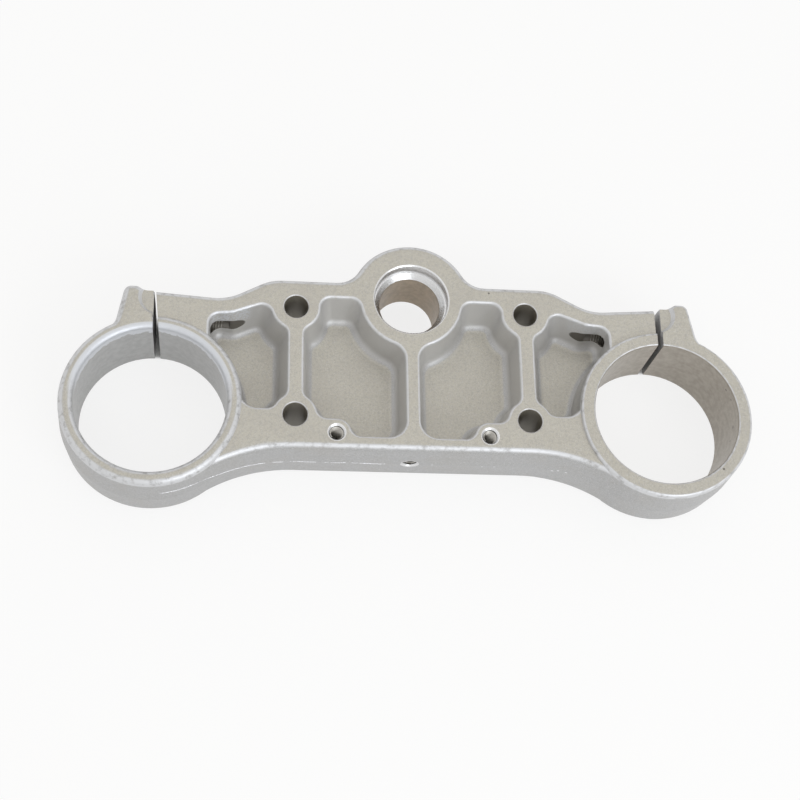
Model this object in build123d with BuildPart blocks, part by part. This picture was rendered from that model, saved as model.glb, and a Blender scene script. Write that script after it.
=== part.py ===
from build123d import *
import math
import os

os.makedirs("parts", exist_ok=True)

# An upper triple clamp of a motorcycle fork: one light-alloy forging, finished by machining.
# Millimetres. The origin is on the stem bore's axis at the flat underside, +Z points up out of
# the pockets, +X runs to the right-hand fork clamp and +Y to the back, where the stem boss is.

# Where the axes stand
clamp_inner_x = 61.0        # half the gap between the two fork clamps
fork_y = -42.9              # the fork tubes stand this far in front of the stem
bolt_x = 42.75              # handlebar bolts, half their spacing across
bolt_back_y = -4.7
bolt_front_y = -46.9
tapped_x = 27.8             # two small tapped holes at the front edge
tapped_y = -53.3
pinch_inset = 0.7           # pinch screws, across the slits, this far inside the clamp's back
pinch_z = 20.4
front_hole_z = 14.0         # tapped hole in the middle of the front wall

# Heights and the forging's draft
plate_top = 28.0
parting_z = 14.0            # the dies met here, so the walls lean in above and below
rim_top = 29.6              # faced rims of the two fork clamps
draft = 3.0                 # degrees
plate_round = 2.8           # top and bottom outer edges of the plate
foot_round = 2.5            # bottom outer edge of the fork clamps

# Outline of the plate at the parting plane, right half
front_y = -60.0
back_y = 7.1
shoulder_x = 52.4           # the straight back edge ends here
shoulder_round = 18.0
neck_x = 68.2               # and comes down to the pinch block here
neck_y = -1.3
neck_round = 18.0
block_reach = 5.0           # the block ends inside the ear, this far outside the fork's axis
block_rise = 10.8           # its back edge stands this far behind the clamp
block_corner = 5.0
block_blend = 3.0
waist_round = 60.0          # long hollow from the front wall into each fork clamp
boss_r = 23.2               # stem boss
boss_blend = 9.0

# Fork clamps
fork_bore_r = 27.0
clamp_wall = 6.0            # at the parting plane
ring_bury = 0.15            # the plate's own end lies this far inside the clamp
rim_round_right = 1.2       # the right rim is crisp
mouth_right = 0.9
rim_worn_left = 0.45        # the left one is dressed round over these shares of its wall
mouth_worn_left = 0.4
bore_foot_chamfer = 0.8
room_margin = 0.2           # the plate's metal ends on the clamp's flat rim, this far off its mouth

# Ears outside the slits, measured from the fork's axis and from the back of the clamp
ear_reach = 11.6            # back corner
ear_rise = 12.0
ear_flare = 6.4             # the side slants outwards by this on its way into the clamp
ear_root = 12.9             # and meets the clamp this far behind the fork's axis
ear_lump = 5.2              # the thick end of the ear
ear_step = 2.8              # slope down to its thinner part
ear_step_drop = 1.7
ear_corner = 3.4
ear_lump_round = 2.5
ear_step_round = 3.0
ear_blend = 5.0
ear_margin = 0.3            # the ear is rounded by this much more than its rim
recess_r = 6.4              # spot-faced flat around each slit, with a sloping edge
recess_edge = 1.2
recess_inset = 1.5          # its centre is this far inside the fork's axis
recess_rise = 6.7

# Slits, measured at the bore and at the back
slit_inset = 0.4            # the right one stands this far inside the fork's axis
slit_right = 2.1
slit_left_reach = 0.45      # the left one's outer wall stands this far outside it
slit_left_bore = 2.1
slit_left_back = 0.4        # pinched nearly shut

# Stem bore, a counterbore over a conical seat
stem_r = 11.3
stem_counter_r = 13.65
stem_counter_depth = 4.9
stem_mouth = 0.5
stem_seat_r = 13.2
stem_seat_depth = 2.2
stem_foot_chamfer = 1.4

# Holes
bolt_r = 4.4
bolt_chamfer = 0.4
thread_r = 2.5              # tapping size of the small threads
thread_mouth_r = 3.2
tapped_depth = 18.0
front_hole_depth = 13.0
pinch_clear_r = 3.3
pinch_seat_r = 5.6
pinch_seat_reach = 10.0     # flat seat for the pinch screw's head
pinch_run_x = 66.8          # the drill ran out along the pocket's wall to here
drill_angle = 31.0          # degrees, slope of the cone that a drill leaves

# Pockets, drawn where their walls meet the plate's top
pocket_floor_z = 13.7
pocket_floor_round = 3.4
pocket_mouth_round = 1.2
pocket_corner = 4.0         # upright corners at the top and at the floor
pocket_floor_corner = 4.6
web_corner = 6.5            # the two corners beside the web are rounder
clamp_corner = 7.0          # and so is the one in front beside the fork clamp
centre_slope = 2.0          # the walls come in by this much on their way to the floor
centre_back_slope = 3.8
outer_slope = 3.4
outer_end_slope = 1.0       # steeper at the far end and beside the fork clamp
web_x = 2.5                 # half the web between the two centre pockets
centre_side_x = 39.9
centre_back_y = -0.3
centre_front_y = -54.6
centre_step_y = -48.0
boss_wall_r = 19.05         # wall left around the counterbore
bolt_land_back = 8.9        # metal left around the bolt holes
bolt_land_front = 7.9
outer_side_x = 45.5
outer_end_x = 74.4
outer_front_y = -44.9
outer_back_y = -0.2
outer_bend_x = 66.0
outer_bend_y = -7.9
outer_end_y = -8.7
clamp_overlap = 1.6         # the outer pockets run in under the clamp's own wall

# Worked out from the above
lean = math.tan(math.radians(draft))
rim_round_left = rim_worn_left * clamp_wall
mouth_left = mouth_worn_left * clamp_wall
ring_r = fork_bore_r + clamp_wall
fork_x = clamp_inner_x + ring_r
core_r = ring_r - ring_bury
ear_core_r = core_r - ring_bury
room_r = fork_bore_r + mouth_left + room_margin
clamp_back_y = fork_y + ring_r
block_x = fork_x + block_reach
block_y = clamp_back_y + block_rise
ear_x = fork_x + ear_reach
ear_back_y = clamp_back_y + ear_rise
ear_foot_x = ear_x + ear_flare
ear_foot_y = fork_y + ear_root
ear_lump_x = ear_x - ear_lump
ear_step_x = ear_lump_x - ear_step
ear_step_y = ear_back_y - ear_step_drop
recess_x = fork_x - recess_inset
recess_y = clamp_back_y + recess_rise
slit_x = fork_x - slit_inset
slit_left_x = fork_x + slit_left_reach
pinch_y = clamp_back_y - pinch_inset
pinch_seat_x = fork_x + pinch_seat_reach
parting = Plane.XY.offset(parting_z)
tapped_land = centre_step_y - tapped_y
drill_tip = thread_r * math.tan(math.radians(drill_angle))
counter_floor_z = plate_top - stem_counter_depth
beyond = 5.0                # how far cutting tools run past the metal


def near_first(corners, x, y):
    """Corners of a sketch, the one nearest to a point first."""
    return corners.sort_by(lambda corner: (corner.center() - Vector(x, y)).length)


def half_chord(radius, away):
    """Half the chord that passes this far from the centre of a circle."""
    return math.sqrt(radius ** 2 - away ** 2)


def plate_half(height):
    """Plate with the stem boss, from the parting plane up to its rounded edge."""
    right = [(block_x, front_y), (block_x, block_y), (neck_x, neck_y), (shoulder_x, back_y)]
    left = [(-x, y) for x, y in reversed(right)]
    corners = [
        (half_chord(boss_r, back_y), back_y, boss_blend),
        (fork_x - half_chord(core_r, front_y - fork_y), front_y, waist_round),
        (shoulder_x, back_y, shoulder_round),
        (neck_x, neck_y, neck_round),
        (block_x, block_y, block_corner),
        (block_x, fork_y + half_chord(core_r, block_x - fork_x), block_blend),
    ]
    with BuildPart() as half:
        with BuildSketch(parting) as plan:
            with BuildLine():
                Polyline(*right, *left, close=True)
            make_face()
            with Locations((fork_x, fork_y), (-fork_x, fork_y)):
                Circle(core_r)
            Circle(boss_r)
            for x, y, radius in corners:
                fillet(near_first(plan.vertices(), x, y)[0], radius)
                fillet(near_first(plan.vertices(), -x, y)[0], radius)
        extrude(amount=height, taper=draft)
        fillet(half.faces().sort_by(Axis.Z)[-1].outer_wire().edges(), plate_round)
    return half.part


def ear_half(height, rounding):
    """Right-hand ear from the parting plane down, with the part of the clamp that it grows from."""
    outline = [
        (fork_x, ear_foot_y),
        (ear_foot_x, ear_foot_y),
        (ear_x, ear_back_y),
        (ear_lump_x, ear_back_y),
        (ear_step_x, ear_step_y),
        (fork_x, ear_step_y),
    ]
    root_y = fork_y + half_chord(ear_core_r, ear_foot_x - fork_x)
    keep_x = ear_core_r + beyond
    keep_y = ear_back_y + beyond - ear_foot_y
    with BuildPart() as half:
        with BuildSketch(parting) as plan:
            with BuildLine():
                Polyline(*outline, close=True)
            make_face()
            with Locations((fork_x, fork_y)):
                Circle(ear_core_r)
            fillet(near_first(plan.vertices(), ear_x, ear_back_y)[0], ear_corner)
            fillet(near_first(plan.vertices(), ear_lump_x, ear_back_y)[0], ear_lump_round)
            fillet(near_first(plan.vertices(), ear_step_x, ear_step_y)[0], ear_step_round)
            fillet(near_first(plan.vertices(), ear_foot_x, root_y)[0], ear_blend)
            with Locations((fork_x + keep_x / 2, ear_foot_y + keep_y / 2)):
                Rectangle(keep_x, keep_y, mode=Mode.INTERSECT)
        extrude(amount=-height, taper=draft)
        rim = half.faces().sort_by(Axis.Z)[0].outer_wire().edges()
        # the flat cut and the buried end stay sharp
        seam_x = rim.sort_by(Axis.X)[0].center().X
        seam_y = rim.sort_by(Axis.Y)[0].center().Y
        fillet([e for e in rim if e.center().X > seam_x and e.center().Y > seam_y], rounding)
    return half.part


def clamp_ring(rim_rounding, mouth_rounding):
    """One fork clamp, turned about its own axis."""
    foot = (ring_r - parting_z * lean, 0)
    rim = (ring_r - (rim_top - parting_z) * lean, rim_top)
    bore_foot = (fork_bore_r, 0)
    bore_rim = (fork_bore_r, rim_top)
    with BuildPart() as ring:
        with BuildSketch(Plane.XZ) as profile:
            with BuildLine():
                Polyline(bore_foot, foot, (ring_r, parting_z), rim, bore_rim, close=True)
            make_face()
            fillet(near_first(profile.vertices(), *foot)[0], foot_round)
            fillet(near_first(profile.vertices(), *rim)[0], rim_rounding)
            fillet(near_first(profile.vertices(), *bore_rim)[0], mouth_rounding)
            chamfer(near_first(profile.vertices(), *bore_foot)[0], bore_foot_chamfer)
        revolve(axis=Axis.Z)
    return ring.part


def centre_outline(height, slope, back_slope, corner):
    """Pocket beside the middle web, right-hand side, drawn in by the slopes from its top walls."""
    with BuildSketch(Plane.XY.offset(height)) as outline:
        with BuildLine():
            Polyline(
                (web_x + slope, centre_back_y - back_slope),
                (web_x + slope, centre_front_y + slope),
                (tapped_x, centre_front_y + slope),
                (tapped_x, centre_step_y + slope),
                (centre_side_x - slope, centre_step_y + slope),
                (centre_side_x - slope, centre_back_y - back_slope),
                close=True,
            )
        make_face()
        Circle(boss_wall_r + slope, mode=Mode.SUBTRACT)
        with Locations((bolt_x, bolt_back_y)):
            Circle(bolt_land_back + slope, mode=Mode.SUBTRACT)
        with Locations((bolt_x, bolt_front_y)):
            Circle(bolt_land_front + slope, mode=Mode.SUBTRACT)
        with Locations((tapped_x, tapped_y)):
            Circle(tapped_land + slope, mode=Mode.SUBTRACT)
        # the land around the tapped hole runs smoothly into the step, all else is rounded
        corners = near_first(outline.vertices(), tapped_x, centre_step_y + slope)[1:]
        fillet(corners.sort_by(Axis.X)[2:], corner)
        fillet(outline.vertices().sort_by(Axis.X)[:2], web_corner)
    return outline.sketch


def outer_outline(height, slope, end_slope, beside_clamp):
    """Pocket beside the fork clamp, right-hand side, drawn in by the slopes from its top walls."""
    with BuildSketch(Plane.XY.offset(height)) as outline:
        with BuildLine():
            Polyline(
                (outer_side_x + slope, outer_back_y - slope),
                (outer_side_x + slope, outer_front_y + slope),
                (outer_end_x - end_slope, outer_front_y + slope),
                (outer_end_x - end_slope, outer_end_y - end_slope),
                (outer_bend_x - end_slope, outer_bend_y - slope),
                close=True,
            )
        make_face()
        with Locations((bolt_x, bolt_back_y)):
            Circle(bolt_land_back + slope, mode=Mode.SUBTRACT)
        with Locations((bolt_x, bolt_front_y)):
            Circle(bolt_land_front + slope, mode=Mode.SUBTRACT)
        with Locations((fork_x, fork_y)):
            Circle(ring_r - clamp_overlap + end_slope, mode=Mode.SUBTRACT)
        fillet(near_first(outline.vertices(), fork_x - ring_r, outer_front_y)[1:], pocket_corner)
        fillet(near_first(outline.vertices(), fork_x - ring_r, outer_front_y)[0], beside_clamp)
    return outline.sketch


def sunk(mouth, floor):
    """Cutter for a pocket: sloping walls between two outlines and a rounded floor."""
    with BuildPart() as tool:
        add(mouth)
        add(floor)
        loft(ruled=True)
        fillet(tool.faces().sort_by(Axis.Z)[0].outer_wire().edges(), pocket_floor_round)
    return tool.part


def turned(*steps):
    """Cutter turned about +Z from radius and height pairs, listed upwards from axis to axis."""
    with BuildPart() as tool:
        with BuildSketch(Plane.XZ):
            with BuildLine():
                Polyline(*steps, close=True)
            make_face()
        revolve(axis=Axis.Z)
    return tool.part


def tapped(depth):
    """Tapped hole with a countersunk mouth at the height 0, going down."""
    return turned(
        (0, -depth - drill_tip),
        (thread_r, -depth),
        (thread_r, thread_r - thread_mouth_r),
        (thread_mouth_r, 0),
        (thread_mouth_r, beyond),
        (0, beyond),
    )


centre_pocket = sunk(
    centre_outline(plate_top, 0, 0, pocket_corner),
    centre_outline(pocket_floor_z, centre_slope, centre_back_slope, pocket_floor_corner),
)
outer_pocket = sunk(
    outer_outline(plate_top, 0, 0, clamp_corner),
    outer_outline(pocket_floor_z, outer_slope, outer_end_slope, pocket_floor_corner),
)

# The forged plate, with its pockets rounded at the mouth
upper = plate_half(plate_top - parting_z)
lower = mirror(plate_half(parting_z), about=parting)
with BuildPart() as plate:
    add(upper)
    add(lower)
    for cutter in (centre_pocket, outer_pocket):
        add(cutter, mode=Mode.SUBTRACT)
        add(mirror(cutter, about=Plane.YZ), mode=Mode.SUBTRACT)
    mouths = plate.faces().sort_by(Axis.Z)[-1].inner_wires()
    fillet([edge for mouth in mouths for edge in mouth.edges()], pocket_mouth_round)

# Ears of the two clamps
ear_foot = ear_half(parting_z, foot_round + ear_margin)
ear_right = mirror(ear_half(rim_top - parting_z, rim_round_right + ear_margin), about=parting)
ear_left = mirror(ear_half(rim_top - parting_z, rim_round_left + ear_margin), about=parting)

# Drills and cutters that stand upright
bolt_hole = turned(
    (0, -beyond),
    (bolt_r + bolt_chamfer, -beyond),
    (bolt_r + bolt_chamfer, 0),
    (bolt_r, bolt_chamfer),
    (bolt_r, plate_top - bolt_chamfer),
    (bolt_r + bolt_chamfer, plate_top),
    (bolt_r + bolt_chamfer, plate_top + beyond),
    (0, plate_top + beyond),
)
stem_bore = turned(
    (0, -beyond),
    (stem_r + stem_foot_chamfer, -beyond),
    (stem_r + stem_foot_chamfer, 0),
    (stem_r, stem_foot_chamfer),
    (stem_r, counter_floor_z - stem_seat_depth),
    (stem_seat_r, counter_floor_z),
    (stem_counter_r, counter_floor_z),
    (stem_counter_r, plate_top - stem_mouth),
    (stem_counter_r + stem_mouth, plate_top),
    (stem_counter_r + stem_mouth, plate_top + beyond),
    (0, plate_top + beyond),
)

with BuildPart() as triple_clamp:
    add(plate.part)
    add(ear_right)
    add(ear_foot)
    add(mirror(ear_left, about=Plane.YZ))
    add(mirror(ear_foot, about=Plane.YZ))
    # room for the turned clamps is bored out to within their walls
    with Locations((fork_x, fork_y), (-fork_x, fork_y)):
        Cylinder(room_r, 2 * (rim_top + beyond), mode=Mode.SUBTRACT)
    with Locations((fork_x, fork_y)):
        add(clamp_ring(rim_round_right, mouth_right))
    with Locations((-fork_x, fork_y)):
        add(clamp_ring(rim_round_left, mouth_left))

    # stem bore, four handlebar bolt holes, two small tapped holes
    add(stem_bore, mode=Mode.SUBTRACT)
    for x in (bolt_x, -bolt_x):
        for y in (bolt_back_y, bolt_front_y):
            add(Pos(x, y, 0) * bolt_hole, mode=Mode.SUBTRACT)
    for x in (tapped_x, -tapped_x):
        add(Pos(x, tapped_y, plate_top) * tapped(tapped_depth), mode=Mode.SUBTRACT)

    # tapped hole in the front wall, at the parting plane
    front_wall = Plane((0, front_y, front_hole_z), x_dir=(1, 0, 0), z_dir=(0, -1, 0))
    add(front_wall.location * tapped(front_hole_depth), mode=Mode.SUBTRACT)

    # slits, the right one parallel, the left one pinched at the back
    slit_back_y = ear_back_y + beyond
    slit_bore_y = fork_y + fork_bore_r
    with BuildSketch(Plane.XY.offset(-beyond)):
        with Locations((slit_x, (slit_back_y + fork_y) / 2)):
            Rectangle(slit_right, slit_back_y - fork_y)
        with BuildLine():
            Polyline(
                (-slit_left_x, fork_y),
                (-slit_left_x, slit_back_y),
                (-slit_left_x + slit_left_back, slit_back_y),
                (-slit_left_x + slit_left_back, ear_back_y),
                (-slit_left_x + slit_left_bore, slit_bore_y),
                (-slit_left_x + slit_left_bore, fork_y),
                close=True,
            )
        make_face()
    extrude(amount=rim_top + 2 * beyond, mode=Mode.SUBTRACT)

    # spot faces around the slits, level with the plate
    step = rim_top - plate_top
    spot_face = turned(
        (0, 0),
        (recess_r, 0),
        (recess_r + recess_edge, step),
        (recess_r + recess_edge, beyond),
        (0, beyond),
    )
    for x in (recess_x, -recess_x):
        add(Pos(x, recess_y, plate_top) * spot_face, mode=Mode.SUBTRACT)

    # pinch screws: tapped through the block, clear through the ear, flat seat for the head
    for side in (1, -1):
        with BuildSketch(Plane((side * pinch_run_x, pinch_y, pinch_z), z_dir=(side, 0, 0))):
            Circle(thread_r)
        extrude(amount=slit_x - pinch_run_x, mode=Mode.SUBTRACT)
        with BuildSketch(Plane((side * slit_x, pinch_y, pinch_z), z_dir=(side, 0, 0))):
            Circle(pinch_clear_r)
        extrude(amount=ear_foot_x - slit_x, mode=Mode.SUBTRACT)
        with BuildSketch(Plane((side * pinch_seat_x, pinch_y, pinch_z), z_dir=(side, 0, 0))):
            Circle(pinch_seat_r)
        extrude(amount=ear_foot_x - pinch_seat_x, mode=Mode.SUBTRACT)

triple_clamp.part.label = "triple_clamp"
export_step(triple_clamp.part, "parts/triple_clamp.step")
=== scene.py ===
import math
import random

import bmesh
import bpy
from mathutils import Matrix, Vector
from mathutils.bvhtree import BVHTree


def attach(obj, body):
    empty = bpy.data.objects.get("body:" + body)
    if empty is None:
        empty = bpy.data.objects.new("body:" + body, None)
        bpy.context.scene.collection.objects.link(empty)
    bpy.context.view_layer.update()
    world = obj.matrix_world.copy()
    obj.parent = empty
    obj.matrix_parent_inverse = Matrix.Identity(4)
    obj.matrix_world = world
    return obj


# Looks of a motorcycle triple clamp: satin forged alloy with machined bores and cut threads.
# Metres, in the part's own frame: stem bore on +Z, right-hand fork clamp towards +X.

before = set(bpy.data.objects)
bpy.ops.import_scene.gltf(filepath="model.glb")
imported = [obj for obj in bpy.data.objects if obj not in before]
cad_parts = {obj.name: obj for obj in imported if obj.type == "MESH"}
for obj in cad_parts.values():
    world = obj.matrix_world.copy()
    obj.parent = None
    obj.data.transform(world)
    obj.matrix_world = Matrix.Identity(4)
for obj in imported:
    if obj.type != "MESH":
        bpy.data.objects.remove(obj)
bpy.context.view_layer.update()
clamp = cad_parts["triple_clamp"]

MM = 0.001

# Places on the part, in millimetres
FORK_X = 94.0
FORK_Y = -42.9
FORK_BORE_R = 27.0
RING_R = 33.0
WAIST_R = 60.0
STEM_R = 11.3
STEM_SEAT_R = 14.25
BOLT_R = 4.4
BOLT_X = 42.75
BOLT_BACK_Y = -4.7
BOLT_FRONT_Y = -46.9
TAPPED_X = 27.8
TAPPED_Y = -53.3
TAPPED_DEPTH = 18.0
PLATE_TOP = 28.0
FRONT_Y = -60.0
FRONT_HOLE_Z = 14.0
FRONT_HOLE_DEPTH = 13.0
PINCH_X = 68.6
PINCH_Y = -10.6
PINCH_Z = 20.4
PINCH_RUN = 23.0
POCKET_FLOOR_Z = 13.7
POCKET_END_X = 76.0
THREAD_R = 2.5
THREAD_MOUTH_R = 3.2
THREAD_START = 1.3
THREAD_SHORT = 0.7
PITCH = 1.0


def sweep(name, sections, kept):
    """Closed bar through a row of sections, only where two neighbours are both kept."""
    mesh = bmesh.new()
    rows = [[mesh.verts.new(point) for point in section] for section in sections]
    sides = len(sections[0])
    came = False
    for i, row in enumerate(rows):
        goes = i + 1 < len(rows) and kept[i] and kept[i + 1]
        if goes:
            after = rows[i + 1]
            for k in range(sides):
                mesh.faces.new((row[k], row[k - 1], after[k - 1], after[k]))
        if goes != came:
            mesh.faces.new(row)
        came = goes
    loose = [vert for vert in mesh.verts if not vert.link_faces]
    bmesh.ops.delete(mesh, geom=loose, context="VERTS")
    bmesh.ops.recalc_face_normals(mesh, faces=mesh.faces)
    data = bpy.data.meshes.new(name)
    mesh.to_mesh(data)
    mesh.free()
    piece = bpy.data.objects.new(name, data)
    bpy.context.scene.collection.objects.link(piece)
    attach(piece, "root")
    return piece


def surface_tree(node):
    """Tree of the node's faces, for rays that look for its surface."""
    mesh = node.data
    return BVHTree.FromPolygons([v.co for v in mesh.vertices], [p.vertices for p in mesh.polygons])


def thread(name, mouth, inward, start, end, tree):
    """Right-handed thread in a tapped hole, from start to end below its mouth, where it has a wall."""
    steps = 40
    crest = THREAD_R - 0.42
    root = THREAD_R + 0.06
    crest_half = 0.06
    root_half = 0.32 * PITCH
    profile = [(-root_half, root), (-crest_half, crest), (crest_half, crest), (root_half, root)]
    reach = 3.4
    play = 0.25
    axis = Vector(inward).normalized()
    side = axis.orthogonal().normalized()
    other = axis.cross(side)
    origin = Vector(mouth) * MM
    sections = []
    kept = []
    for i in range(int((end - start) / PITCH * steps) + 1):
        turn = 2 * math.pi * i / steps
        radial = side * math.cos(turn) + other * math.sin(turn)
        centre = origin + axis * (start + PITCH * i / steps) * MM
        sections.append([centre + (axis * shift + radial * radius) * MM for shift, radius in profile])
        distance = tree.ray_cast(centre, radial, reach * MM)[3]
        kept.append(distance is not None and abs(distance / MM - THREAD_R) < play)
    return sweep(name, sections, kept)


# Trimmed flash of the forging dies: x, height of the line, and how far it stands out
FLASH_ROUTE = [
    (-91.3, 20.0, 0.02), (-88.5, 20.0, 0.10), (-84.0, 19.9, 0.09), (-81.0, 19.8, 0.24), (-79.0, 19.5, 0.08),
    (-76.5, 19.3, 0.24), (-74.0, 17.6, 0.10), (-68.3, 15.5, 0.13), (-62.8, 14.9, 0.18), (-58.5, 14.5, 0.26),
    (-54.5, 14.2, 0.16), (-51.0, 14.0, 0.00), (-47.5, 13.6, 0.24), (-45.5, 13.7, 0.04), (-41.0, 14.0, 0.10),
    (-36.5, 13.9, 0.22), (-34.0, 13.8, 0.02), (-29.0, 13.6, 0.09), (-26.0, 13.9, 0.22), (-23.0, 14.0, 0.02),
    (-17.0, 13.8, 0.10), (-12.0, 13.5, 0.22), (-9.5, 13.6, 0.06), (-7.0, 13.8, 0.00),
]


def outline_at(x):
    """Point of the part's front outline at x, and the way out of the part there."""
    waist_y = FRONT_Y - WAIST_R
    waist_x = -FORK_X + math.sqrt((RING_R + WAIST_R) ** 2 - (FORK_Y - waist_y) ** 2)
    meet_x = -FORK_X + RING_R * (waist_x + FORK_X) / (RING_R + WAIST_R)
    if x < meet_x:
        drop = math.sqrt(RING_R ** 2 - (x + FORK_X) ** 2)
        return FORK_Y - drop, Vector((x + FORK_X, -drop, 0)) / RING_R
    if x < waist_x:
        rise = math.sqrt(WAIST_R ** 2 - (x - waist_x) ** 2)
        return waist_y + rise, Vector((waist_x - x, -rise, 0)) / WAIST_R
    return FRONT_Y, Vector((0, -1, 0))


def flash_line(tree):
    """Thin, uneven ridge along the left half of the front, laid on the part's surface."""
    draw = random.Random(4)
    step = 0.35
    half = 0.2
    least = 0.05
    sunk = 0.08
    wander = 0.16
    outside = 6.0
    sections = []
    kept = []
    x = FLASH_ROUTE[0][0]
    for (x0, z0, out0), (x1, z1, out1) in zip(FLASH_ROUTE, FLASH_ROUTE[1:]):
        while x < x1:
            share = (x - x0) / (x1 - x0)
            z = z0 + (z1 - z0) * share + wander * (draw.random() - 0.5)
            out = (out0 + (out1 - out0) * share) * (0.55 + 0.9 * draw.random())
            y, away = outline_at(x)
            start = (Vector((x, y, z)) + outside * away) * MM
            hit = tree.ray_cast(start, -away, 2 * outside * MM)[0]
            foot = hit - away * sunk * MM
            top = out + sunk
            section = [(-half, 0.0), (-0.4 * half, top), (0.4 * half, top - 0.1 * out), (half, 0.0)]
            sections.append([foot + (away * rise + Vector((0, 0, shift))) * MM for shift, rise in section])
            kept.append(out > least)
            x += step
    return sweep("flash_line", sections, kept)


# Each thread starts a little below its mouth, and a tapped hole's ends short of the bottom
tree = surface_tree(clamp)
threads = []
for side, word in ((1, "right"), (-1, "left")):
    threads.append(thread("thread_top_" + word, (side * TAPPED_X, TAPPED_Y, PLATE_TOP), (0, 0, -1),
                          THREAD_START, TAPPED_DEPTH - THREAD_SHORT, tree))
    threads.append(thread("thread_pinch_" + word, (side * PINCH_X, PINCH_Y, PINCH_Z), (side, 0, 0),
                          0.5 * PITCH, PINCH_RUN, tree))
threads.append(thread("thread_front", (0, FRONT_Y, FRONT_HOLE_Z), (0, 1, 0),
                      THREAD_START, FRONT_HOLE_DEPTH - THREAD_SHORT, tree))
flash = flash_line(tree)


class Nodes:
    """Short ways to add shader nodes to a material or a world, whose own nodes are cleared."""

    def __init__(self, owner):
        owner.use_nodes = True
        self.tree = owner.node_tree
        self.tree.nodes.clear()

    def add(self, kind, **settings):
        node = self.tree.nodes.new(kind)
        for key, value in settings.items():
            setattr(node, key, value)
        return node

    def put(self, socket, value):
        if isinstance(value, bpy.types.NodeSocket):
            self.tree.links.new(value, socket)
        else:
            socket.default_value = value

    def math(self, operation, a, b=0.0):
        node = self.add("ShaderNodeMath", operation=operation)
        self.put(node.inputs[0], a)
        self.put(node.inputs[1], b)
        return node.outputs[0]

    def both(self, *masks):
        """Where all of the masks are."""
        result = masks[0]
        for mask in masks[1:]:
            result = self.math("MULTIPLY", result, mask)
        return result

    def either(self, *masks):
        """Where any of the masks is."""
        result = masks[0]
        for mask in masks[1:]:
            result = self.math("MAXIMUM", result, mask)
        return result

    def above(self, value, limit, soft):
        """1 above the limit, fading to 0 over the soft stretch below it."""
        node = self.add("ShaderNodeMapRange", interpolation_type="SMOOTHSTEP")
        self.put(node.inputs["Value"], value)
        node.inputs["From Min"].default_value = limit - soft
        node.inputs["From Max"].default_value = limit
        return node.outputs["Result"]

    def below(self, value, limit, soft):
        """1 below the limit, fading to 0 over the soft stretch above it."""
        return self.above(value, limit, -soft)

    def blend(self, kind, factor, a, b):
        """From a to b; kind is RGBA for colours and FLOAT for numbers."""
        node = self.add("ShaderNodeMix", data_type=kind)
        self.put(node.inputs["Factor"], factor)
        self.put(node.inputs["A"], a)
        self.put(node.inputs["B"], b)
        return node.outputs["Result"]

    def colour(self, factor, a, b):
        return self.blend("RGBA", factor, a, b)

    def number(self, factor, a, b):
        return self.blend("FLOAT", factor, a, b)

    def noise(self, vector, scale, detail=2.0, roughness=0.5):
        node = self.add("ShaderNodeTexNoise")
        self.put(node.inputs["Vector"], vector)
        node.inputs["Scale"].default_value = scale
        node.inputs["Detail"].default_value = detail
        node.inputs["Roughness"].default_value = roughness
        return node.outputs["Fac"]

    def split(self, vector):
        node = self.add("ShaderNodeSeparateXYZ")
        self.put(node.inputs[0], vector)
        return node.outputs

    def radius(self, x, y, at_x, at_y):
        """Distance in a plane from the place at_x, at_y."""
        dx = self.math("SUBTRACT", x, at_x)
        dy = self.math("SUBTRACT", y, at_y)
        squares = self.math("ADD", self.math("MULTIPLY", dx, dx), self.math("MULTIPLY", dy, dy))
        return self.math("SQRT", squares)

    def spots(self, vector, places):
        """Small round marks at places of x, y, z and radius."""
        marks = []
        for *at, size in places:
            node = self.add("ShaderNodeVectorMath", operation="DISTANCE")
            self.put(node.inputs[0], vector)
            node.inputs[1].default_value = at
            marks.append(self.below(node.outputs["Value"], 0.5 * size, 0.5 * size))
        return self.either(*marks)

    def switch(self, factor, first, second):
        """First shader where the factor is 0, second where it is 1."""
        node = self.add("ShaderNodeMixShader")
        self.put(node.inputs["Fac"], factor)
        self.put(node.inputs[1], first)
        self.put(node.inputs[2], second)
        return node.outputs[0]


def rgba(red, green, blue):
    return (red, green, blue, 1.0)


# Tones of the alloy: as it left the blasting, what wear and stains have made of it, the brownish machined
# bores, and painted light and shade: lighter tops, darker sides, lighter pocket walls, painted highlights
# on worn places, dark bolt holes and thread roots
LEVEL_PAINTED_LIGHT_TONE = rgba(0.495, 0.472, 0.410)
SIDE_PAINTED_SHADE_TONE = rgba(0.405, 0.407, 0.412)
GRAIN_TONE = rgba(0.33, 0.32, 0.305)
SPARK_TONE = rgba(0.66, 0.65, 0.64)
CLOUD_TONE = rgba(0.40, 0.375, 0.34)
PATCH_TONE = rgba(0.56, 0.55, 0.53)
POCKET_WALL_PAINTED_LIGHT_TONE = rgba(0.62, 0.612, 0.60)
WORN_AND_HIGHLIGHT_TONE = rgba(0.66, 0.665, 0.68)
TORN_AND_GLINT_TONE = rgba(0.70, 0.72, 0.76)
RIGHT_BORE_TONES = (rgba(0.42, 0.385, 0.335), rgba(0.34, 0.305, 0.26))
LEFT_BORE_TONES = (rgba(0.43, 0.43, 0.425), rgba(0.37, 0.37, 0.365))
STEM_BORE_TONES = (rgba(0.42, 0.335, 0.245), rgba(0.33, 0.27, 0.20))
BOLT_HOLE_SHADE_TONE = rgba(0.27, 0.245, 0.20)
THREAD_ROOT_SHADE_TONE = rgba(0.13, 0.12, 0.105)
THREAD_CREST_TONE = rgba(0.50, 0.48, 0.44)
POLISHED_TONE = rgba(0.72, 0.72, 0.72)
WORN_BAND_HIGHLIGHT_TONE = rgba(0.66, 0.68, 0.72)
PIT_TONE = rgba(0.10, 0.09, 0.08)
NICK_TONE = rgba(0.80, 0.80, 0.82)
FLASH_TONE = rgba(0.70, 0.70, 0.71)

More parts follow.
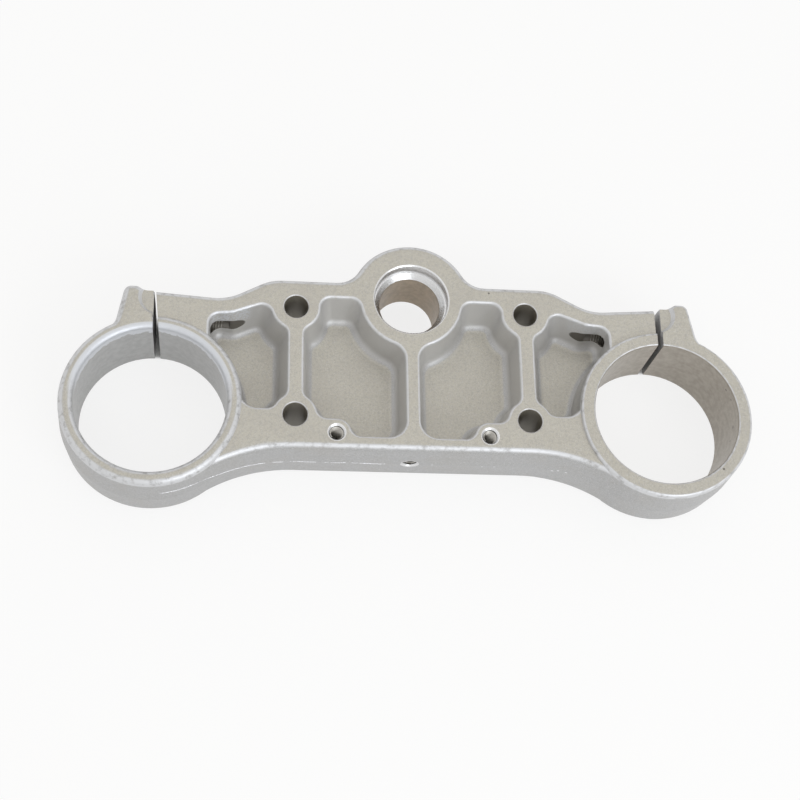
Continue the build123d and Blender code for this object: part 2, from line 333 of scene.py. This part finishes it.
# Small marks of wear: x, y, z and radius
PITS = [
    (118.5, -31.5, 25.8, 0.6), (120.0, -35.5, 26.0, 0.5), (120.9, -45.1, 22.7, 0.8),
    (120.1, -49.8, 20.3, 0.6), (113.3, -64.1, 29.6, 0.6), (29.2, 3.6, 28.0, 0.5),
]
NICKS = [
    (53.2, -61.0, 13.5, 0.7), (55.1, -61.4, 14.8, 0.6), (58.0, -62.2, 14.9, 0.6),
    (8.3, -60.0, 13.8, 0.5), (27.0, -60.0, 13.0, 0.5), (31.5, -60.0, 13.3, 0.5),
]


def regions(n, place, grain, patch):
    """Masks of the places on the part that have a finish of their own or get painted light or shade, by
    name.
    """
    x, y, z = n.split(place)
    away = n.math("ABSOLUTE", x)
    _, towards_back, up = n.split(n.add("ShaderNodeNewGeometry").outputs["Normal"])
    level = n.above(up, 0.99, 0.09)
    side_on = n.math("SUBTRACT", 1.0, level)
    faces_front = n.below(towards_back, -0.2, 0.4)
    left = n.below(x, -1.0, 2.0)

    fork = n.radius(away, y, FORK_X, FORK_Y)
    stem = n.radius(x, y, 0.0, 0.0)
    back_bolt = n.radius(away, y, BOLT_X, BOLT_BACK_Y)
    front_bolt = n.radius(away, y, BOLT_X, BOLT_FRONT_Y)
    bolt = n.math("MINIMUM", back_bolt, front_bolt)
    tapped = n.radius(away, y, TAPPED_X, TAPPED_Y)
    pinch = n.radius(y, z, PINCH_Y, PINCH_Z)
    front = n.radius(x, z, 0.0, FRONT_HOLE_Z)

    fork_bore = n.below(fork, FORK_BORE_R + 0.1, 0.25)
    stem_bore = n.below(stem, STEM_R + 0.05, 0.15)
    seat = n.both(n.below(stem, STEM_SEAT_R - 0.05, 0.1), n.above(stem, STEM_R + 0.2, 0.2))
    # Painted shade: the bolt holes' walls are dark
    bolt_hole = n.below(bolt, BOLT_R + 0.05, 0.1)

    # Painted shade: the tapped holes' walls, behind the thread pieces, are near black
    in_tapped, in_pinch, in_front = (n.below(hole, THREAD_R + 0.12, 0.1) for hole in (tapped, pinch, front))
    in_tapped = n.both(in_tapped, n.below(z, PLATE_TOP - 0.8, 0.4))
    in_pinch = n.both(in_pinch, n.above(away, PINCH_X - 6.6, 2.0))
    in_front = n.both(in_front, n.above(y, FRONT_Y + 1.0, 0.4), n.below(y, FRONT_Y + FRONT_HOLE_DEPTH, 1.0))
    tapped_mouth = n.both(n.below(tapped, THREAD_MOUTH_R + 0.1, 0.2), n.above(tapped, THREAD_R + 0.1, 0.1),
                          n.above(z, PLATE_TOP - 1.5, 0.5))
    front_mouth = n.both(n.below(front, THREAD_MOUTH_R + 0.1, 0.2), n.below(y, FRONT_Y + 1.2, 0.4), side_on)

    # The pockets' walls lie off every bore and hole, and none of them faces the outside at the back; they
    # get a lighter tone, painted light against the shade inside the pockets
    off_holes = n.both(n.above(fork, RING_R - 0.2, 0.5), n.above(stem, STEM_SEAT_R + 1.0, 0.5),
                       n.above(bolt, BOLT_R + 0.9, 0.3), n.above(tapped, THREAD_MOUTH_R + 0.3, 0.2))
    inside = n.both(n.above(z, POCKET_FLOOR_Z + 1.8, 2.0), n.below(away, POCKET_END_X, 2.0),
                    n.above(y, FRONT_Y + 4.0, 0.5), n.either(n.below(y, -2.5, 1.0), faces_front))
    # Wear and painted highlight: the top edges' roundings get a lighter, bluish tone in patches
    edge = n.both(n.above(z, PLATE_TOP - 0.5, 1.2), side_on, n.above(patch, 0.55, 0.30))
    # Torn metal and painted glints: bright bluish specks on the front-facing walls at the outer pockets'
    # back ends, stronger on the left
    torn_end_glint = n.both(n.above(y, -12.5, 3.5), n.above(away, 61.0, 3.0), n.below(away, 73.0, 2.0),
                      n.above(z, 22.5, 2.5), side_on, faces_front, n.above(grain, 0.60, 0.20))

    # The worn band on the left bore's mouth also carries a painted highlight; its lower edge is ragged, and
    # the band ends beside the middle of the bore
    ragged = n.math("ADD", z, n.math("MULTIPLY", n.math("SUBTRACT", patch, 0.5), 6.0))
    worn_band_highlight = n.both(left, n.below(fork, FORK_BORE_R + 2.0, 0.6), n.above(y, -33.0, 11.0),
                  n.above(ragged, PLATE_TOP - 2.0, 0.8))
    return {
        "level": level,
        "left": left,
        "fork_bore": fork_bore,
        "stem_bore": stem_bore,
        "bolt_hole": bolt_hole,
        "thread_root_shade": n.either(in_tapped, in_pinch, in_front),
        "polished": n.either(seat, tapped_mouth, front_mouth),
        "pocket": n.both(side_on, inside, off_holes),
        "edge": edge,
        "torn_end_glint": n.both(torn_end_glint, n.number(left, 0.35, 0.90)),
        "worn_band_highlight": worn_band_highlight,
    }


def finish(n, place):
    """Colour, roughness, share of bare metal, and height of the grain."""
    grain = n.noise(place, 1.3, 4.0, 0.65)
    fine = n.noise(place, 3.6, 2.0, 0.5)
    cloud = n.noise(place, 0.09, 3.0, 0.55)
    patch = n.noise(place, 0.45, 3.0, 0.55)
    at = regions(n, place, grain, patch)
    level = at["level"]
    stain = n.above(patch, 0.7, 0.4)
    right_bore, left_bore, stem_bore = (
        n.colour(stain, *tones) for tones in (RIGHT_BORE_TONES, LEFT_BORE_TONES, STEM_BORE_TONES)
    )
    layers = [
        (n.above(grain, 0.68, 0.26), n.number(level, 0.60, 0.50), GRAIN_TONE),
        (n.above(fine, 0.70, 0.22), n.number(level, 0.65, 0.50), SPARK_TONE),
        (n.above(cloud, 0.70, 0.30), 0.20, CLOUD_TONE),
        (n.above(patch, 0.75, 0.30), 0.10, PATCH_TONE),
        # Painted light: the pocket walls are made lighter than their shade
        (at["pocket"], 0.85, POCKET_WALL_PAINTED_LIGHT_TONE),
        (at["edge"], 0.90, WORN_AND_HIGHLIGHT_TONE),
        (at["torn_end_glint"], 1.0, TORN_AND_GLINT_TONE),
        (at["fork_bore"], 1.0, n.colour(at["left"], right_bore, left_bore)),
        (at["stem_bore"], 1.0, stem_bore),
        (at["bolt_hole"], 1.0, BOLT_HOLE_SHADE_TONE),
        (at["thread_root_shade"], 1.0, THREAD_ROOT_SHADE_TONE),
        (at["polished"], 1.0, POLISHED_TONE),
        (at["worn_band_highlight"], 0.85, WORN_BAND_HIGHLIGHT_TONE),
        (n.spots(place, PITS), 0.8, PIT_TONE),
        (n.spots(place, NICKS), 0.8, NICK_TONE),
    ]
    # Painted light and shade: level faces get a lighter, warmer tone and side faces a darker, cooler one,
    # for how the lamps fall on them
    base = n.colour(level, SIDE_PAINTED_SHADE_TONE, LEVEL_PAINTED_LIGHT_TONE)
    for mask, strength, tone in layers:
        base = n.colour(n.both(mask, strength), base, tone)

    rough = n.number(n.either(at["fork_bore"], at["stem_bore"]), 0.40, 0.34)
    rough = n.number(at["polished"], rough, 0.24)
    rough = n.math("ADD", rough, n.math("MULTIPLY", n.above(fine, 0.7, 0.4), 0.08))
    return base, rough, n.number(at["polished"], 0.5, 1.0), grain


def satin_alloy(name):
    """Blasted outside, machined and brownish in the bores, bright where it is worn and where highlights are
    painted, with painted light and shade on tops, sides, pocket walls, holes and thread roots.
    """
    material = bpy.data.materials.new(name)
    n = Nodes(material)
    place = n.add("ShaderNodeVectorMath", operation="SCALE")
    n.put(place.inputs[0], n.add("ShaderNodeTexCoord").outputs["Object"])
    place.inputs["Scale"].default_value = 1 / MM
    base, rough, metal, grain = finish(n, place.outputs[0])

    bevel = n.add("ShaderNodeBevel", samples=6)
    bevel.inputs["Radius"].default_value = 0.4 * MM
    bump = n.add("ShaderNodeBump")
    bump.inputs["Strength"].default_value = 0.7
    bump.inputs["Distance"].default_value = 0.08 * MM
    n.put(bump.inputs["Height"], grain)
    n.put(bump.inputs["Normal"], bevel.outputs["Normal"])

    shader = n.add("ShaderNodeBsdfPrincipled")
    n.put(shader.inputs["Base Color"], base)
    n.put(shader.inputs["Roughness"], rough)
    n.put(shader.inputs["Metallic"], metal)
    n.put(shader.inputs["Normal"], bump.outputs["Normal"])
    n.put(n.add("ShaderNodeOutputMaterial").inputs["Surface"], shader.outputs["BSDF"])
    return material


def bare_alloy(name, tone, roughness):
    """Cut or rubbed alloy, with a little grain."""
    material = bpy.data.materials.new(name)
    n = Nodes(material)
    grain_scale = 2.5 / MM
    shade = n.above(n.noise(n.add("ShaderNodeTexCoord").outputs["Object"], grain_scale), 0.7, 0.4)
    darker = rgba(*(0.8 * part for part in tone[:3]))
    shader = n.add("ShaderNodeBsdfPrincipled")
    n.put(shader.inputs["Base Color"], n.colour(shade, darker, tone))
    shader.inputs["Roughness"].default_value = roughness
    shader.inputs["Metallic"].default_value = 1.0
    n.put(n.add("ShaderNodeOutputMaterial").inputs["Surface"], shader.outputs["BSDF"])
    return material


clamp.data.materials.clear()
clamp.data.materials.append(satin_alloy("alloy_satin"))
cut = bare_alloy("alloy_cut", THREAD_CREST_TONE, 0.30)
for piece in threads:
    piece.data.materials.append(cut)
flash.data.materials.append(bare_alloy("alloy_rubbed", FLASH_TONE, 0.35))

WHITE = rgba(1.0, 1.0, 1.0)
FLOOR_TONE = rgba(0.93, 0.93, 0.93)
ROOM_TONE = rgba(1.0, 0.985, 0.955)


def seen_rays(n):
    """1 for rays that show the backdrop: straight to the camera, mirrored, or through glass."""
    path = n.add("ShaderNodeLightPath").outputs
    return n.either(path["Is Camera Ray"], path["Is Glossy Ray"], path["Is Transmission Ray"])


def floor():
    """Pale floor that looks white beside the part and keeps its shadow; dark inside the slits."""
    half = 3.0
    low = -0.1 * MM
    mesh = bpy.data.meshes.new("floor")
    corners = [(-half, -half, low), (half, -half, low), (half, half, low), (-half, half, low)]
    mesh.from_pydata(corners, [], [(0, 1, 2, 3)])
    plane = bpy.data.objects.new("floor", mesh)
    bpy.context.scene.collection.objects.link(plane)
    material = bpy.data.materials.new("floor_white")
    n = Nodes(material)
    x, y, _ = n.split(n.add("ShaderNodeTexCoord").outputs["Object"])
    off_slit = n.math("ABSOLUTE", n.math("SUBTRACT", n.math("ABSOLUTE", x), FORK_X * MM))
    under_slit = n.both(n.below(off_slit, 3.0 * MM, 2.0 * MM), n.below(y, 0.0, 2.0 * MM),
                        n.above(y, (FORK_Y + FORK_BORE_R + 1.4) * MM, 1.5 * MM))
    share = n.both(seen_rays(n), n.math("SUBTRACT", 1.0, under_slit), 0.80)
    matt = n.add("ShaderNodeBsdfDiffuse")
    matt.inputs["Color"].default_value = FLOOR_TONE
    glow = n.add("ShaderNodeEmission")
    glow.inputs["Color"].default_value = WHITE
    surface = n.switch(share, matt.outputs[0], glow.outputs[0])
    n.put(n.add("ShaderNodeOutputMaterial").inputs["Surface"], surface)
    mesh.materials.append(material)


def studio():
    """Soft, even room, seen as plain white."""
    world = bpy.data.worlds.new("studio")
    bpy.context.scene.world = world
    n = Nodes(world)
    soft = n.add("ShaderNodeBackground")
    soft.inputs["Color"].default_value = ROOM_TONE
    soft.inputs["Strength"].default_value = 0.75
    backdrop = n.add("ShaderNodeBackground")
    backdrop.inputs["Color"].default_value = WHITE
    backdrop.inputs["Strength"].default_value = 1.0
    surface = n.switch(seen_rays(n), soft.outputs[0], backdrop.outputs[0])
    n.put(n.add("ShaderNodeOutputWorld").inputs["Surface"], surface)


def lamp(name, at, size, power, colour):
    """Rectangular lamp that looks at the part's origin; metres and watts."""
    data = bpy.data.lights.new(name, "AREA")
    data.shape = "RECTANGLE"
    data.size, data.size_y = size
    data.energy = power
    data.color = colour
    light = bpy.data.objects.new(name, data)
    bpy.context.scene.collection.objects.link(light)
    light.location = at
    light.rotation_euler = (-Vector(at)).to_track_quat("-Z", "Y").to_euler()


def photo_camera():
    """Camera where the photograph's perspective puts it."""
    data = bpy.data.cameras.new("camera")
    data.sensor_fit = "HORIZONTAL"
    data.sensor_width = 36.0
    data.lens = 67.01
    camera = bpy.data.objects.new("camera", data)
    bpy.context.scene.collection.objects.link(camera)
    right = Vector((0.99261, -0.01441, 0.12047))
    above = Vector((-0.03029, 0.93205, 0.36106))
    back = Vector((-0.11749, -0.36205, 0.92473))
    at = Vector((-68.20, -235.24, 525.71)) * MM
    camera.matrix_world = Matrix.Translation(at) @ Matrix((right, above, back)).transposed().to_4x4()
    bpy.context.scene.camera = camera


floor()
studio()
lamp("window", (0.62, -1.04, 0.69), (1.0, 0.7), 6.5, (0.90, 0.95, 1.0))
lamp("ceiling", (0.15, 0.55, 1.60), (1.6, 1.2), 1.0, (1.0, 0.97, 0.92))
photo_camera()
bpy.context.scene.view_settings.view_transform = "Standard"
